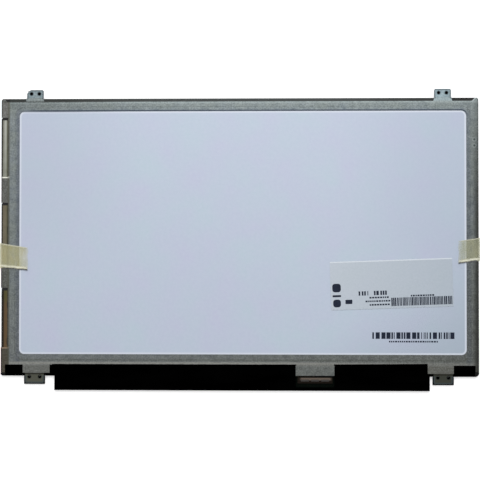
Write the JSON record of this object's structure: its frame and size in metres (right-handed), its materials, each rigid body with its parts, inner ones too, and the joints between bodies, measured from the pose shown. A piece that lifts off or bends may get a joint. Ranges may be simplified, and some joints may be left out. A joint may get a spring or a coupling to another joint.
{
  "type": "laptop screen panel",
  "caption": "Slim edge-lit laptop screen panel, rear side up: stamped steel frame with mounting ears round a white reflector, with a wrapped circuit board along one edge.",
  "frame": {"origin": "centre of the viewing area, on the front face of the front polariser", "axes": "+X along the panel's width, +Y towards its upper edge, +Z from the front face to the rear; the panel lies face down"},
  "size_m": [0.3604, 0.2271, 0.0032],
  "materials": {
    "zinc_steel": "satin zinc-plated sheet",
    "white_film": "matte white polyester",
    "clear_acrylic": "polished",
    "optical_film": "satin",
    "panel_glass": "polished",
    "polariser_film": "anti-glare satin",
    "black_plastic": "fine moulded",
    "black_film": "matte film",
    "amber_film": "glossy polyimide film",
    "silicon_chip": "lapped",
    "circuit_board": "solder mask",
    "chip_resin": "moulded",
    "ceramic_body": "fired",
    "connector_resin": "moulded",
    "connector_metal": "tin plated",
    "contact_metal": "gold plated",
    "led_resin": "moulded",
    "clear_tape": "glossy",
    "label_stock": "semi-gloss coated"
  },
  "bodies": {
    "root": {"rear_frame": "zinc_steel", "reflector_sheet": "white_film", "light_guide_plate": "clear_acrylic", "upper_diffuser": "optical_film", "upper_prism_sheet": "optical_film", "lower_prism_sheet": "optical_film", "lower_diffuser": "optical_film", "colour_filter_glass": "panel_glass", "tft_glass": "panel_glass", "front_polariser": "polariser_film", "rear_polariser": "polariser_film", "mould_frame": "black_plastic", "board_wrap_film": "black_film", "front_rim_tape": "black_film", "glass_seat_tape": "black_film", "gate_film_1": "amber_film", "gate_film_2": "amber_film", "gate_film_3": "amber_film", "source_film_1": "amber_film", "source_film_2": "amber_film", "source_film_3": "amber_film", "source_film_4": "amber_film", "led_strip": "amber_film", "gate_driver_1": "silicon_chip", "gate_driver_2": "silicon_chip", "gate_driver_3": "silicon_chip", "source_driver_1": "silicon_chip", "source_driver_2": "silicon_chip", "source_driver_3": "silicon_chip", "source_driver_4": "silicon_chip", "timing_board": "circuit_board", "timing_controller": "chip_resin", "memory_chip": "chip_resin", "panel_power_chip": "chip_resin", "backlight_driver": "chip_resin", "power_inductors": "chip_resin", "board_capacitors": "ceramic_body", "connector_housing": "connector_resin", "backlight_connector": "connector_resin", "connector_shell": "connector_metal", "connector_contacts": "contact_metal", "led_packages": "led_resin", "side_tape_left": "clear_tape", "side_tape_right": "clear_tape", "product_label": "label_stock"}
  },
  "joints": []
}
